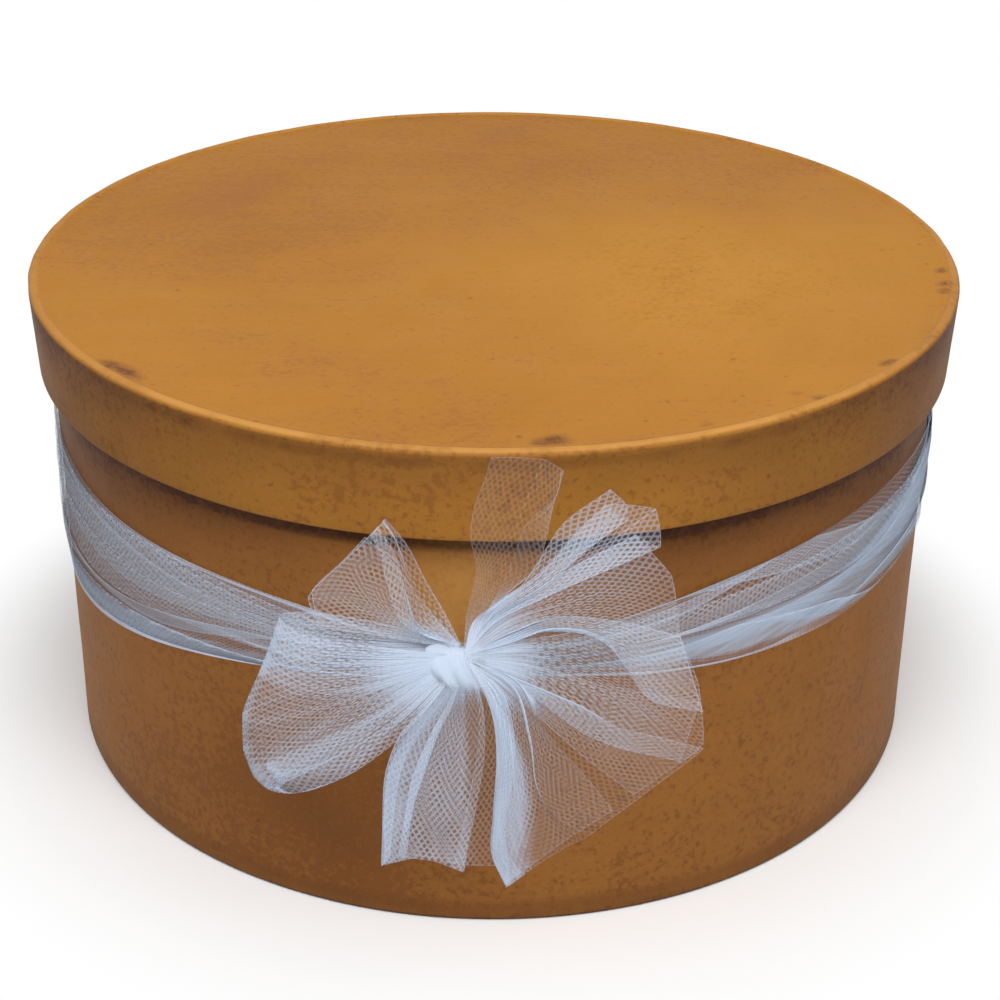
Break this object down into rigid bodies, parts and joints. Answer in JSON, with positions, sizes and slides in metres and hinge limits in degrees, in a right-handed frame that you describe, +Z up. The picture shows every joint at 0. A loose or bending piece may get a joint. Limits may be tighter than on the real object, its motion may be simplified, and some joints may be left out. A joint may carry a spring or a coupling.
{
  "type": "hatbox",
  "caption": "Round painted board hatbox with a shallow lift-off lid and a tulle ribbon tied round the side in a loose bow, for keeping hats, papers and keepsakes.",
  "frame": {"origin": "middle of the box's underside, on its axis", "axes": "+Z up along the box's axis, -Y to the front, where the bow is"},
  "size_m": [0.3038, 0.3213, 0.1652],
  "materials": {
    "board": "raw grey-brown board",
    "painted_paper": "matt ochre paint with a brown antique wash, worn lighter along the edges",
    "lining_paper": "plain cream paper",
    "tulle": "white net, sheer where flat and opaque where gathered"
  },
  "bodies": {
    "box": {"side_wall": "board", "base_board": "board", "side_wrap": "painted_paper", "base_sheet": "painted_paper", "side_lining": "lining_paper", "base_lining": "lining_paper", "ribbon_band": "tulle", "bow_knot": "tulle", "bow_left_loop": "tulle", "bow_left_ear": "tulle", "bow_upright_end": "tulle", "bow_right_end": "tulle", "bow_right_tail": "tulle", "bow_left_tail": "tulle"},
    "lid": {"lid_board": "board", "lid_rim": "board", "lid_top_sheet": "painted_paper", "lid_rim_wrap": "painted_paper", "lid_rim_lining": "lining_paper", "lid_lining": "lining_paper"}
  },
  "joints": [
    {"name": "lid_lift", "type": "slide", "parent": "box", "child": "lid", "axis": [0, 0, 1], "range_m": [0, 0.15]}
  ]
}
